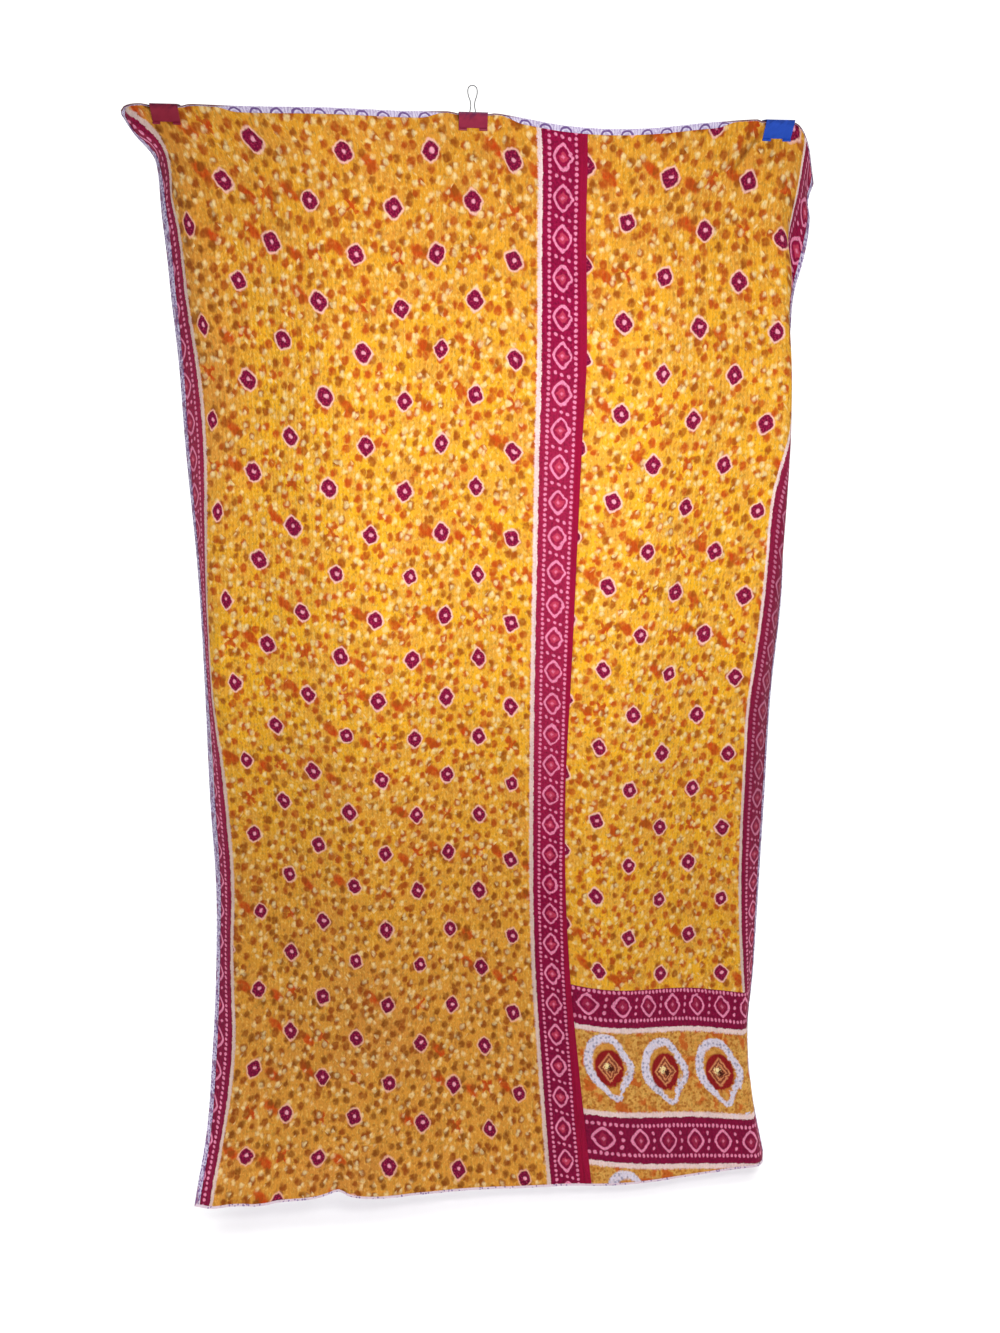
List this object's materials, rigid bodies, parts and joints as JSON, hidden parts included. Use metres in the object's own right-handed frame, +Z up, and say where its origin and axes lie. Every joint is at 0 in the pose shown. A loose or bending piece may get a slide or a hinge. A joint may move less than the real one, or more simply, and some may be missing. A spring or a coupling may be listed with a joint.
{
  "type": "kantha quilt with binder clips",
  "caption": "Printed kantha quilt of lapped sari panels on a turned-over back cloth, hanging in soft folds from binder clips along its top edge.",
  "frame": {"origin": "on the quilt's top edge at the middle of the centre clip, on the back face of the back cloth", "axes": "+Z up, +X to the right as seen from the front, the printed face looks along -Y"},
  "size_m": [1.2734, 0.304, 2.186],
  "materials": {
    "back_cloth": "plain soft cotton, off-white with lavender scallops along its edges",
    "left_panel": "soft printed cotton, amber ground with maroon dotted borders, closely quilted",
    "right_panel": "soft printed cotton, amber ground with maroon dotted borders and an end panel, closely quilted",
    "clip_left": "satin painted spring steel, dark maroon",
    "clip_centre": "satin painted spring steel, maroon",
    "clip_right": "satin painted spring steel, royal blue",
    "handle_wire": "bright plated spring wire"
  },
  "bodies": {
    "root": {"back_cloth": "back_cloth", "left_panel": "left_panel", "right_panel": "right_panel", "clip_left": "clip_left", "clip_centre": "clip_centre", "clip_right": "clip_right", "handle_left": "handle_wire", "handle_centre": "handle_wire", "handle_right": "handle_wire"}
  },
  "joints": []
}
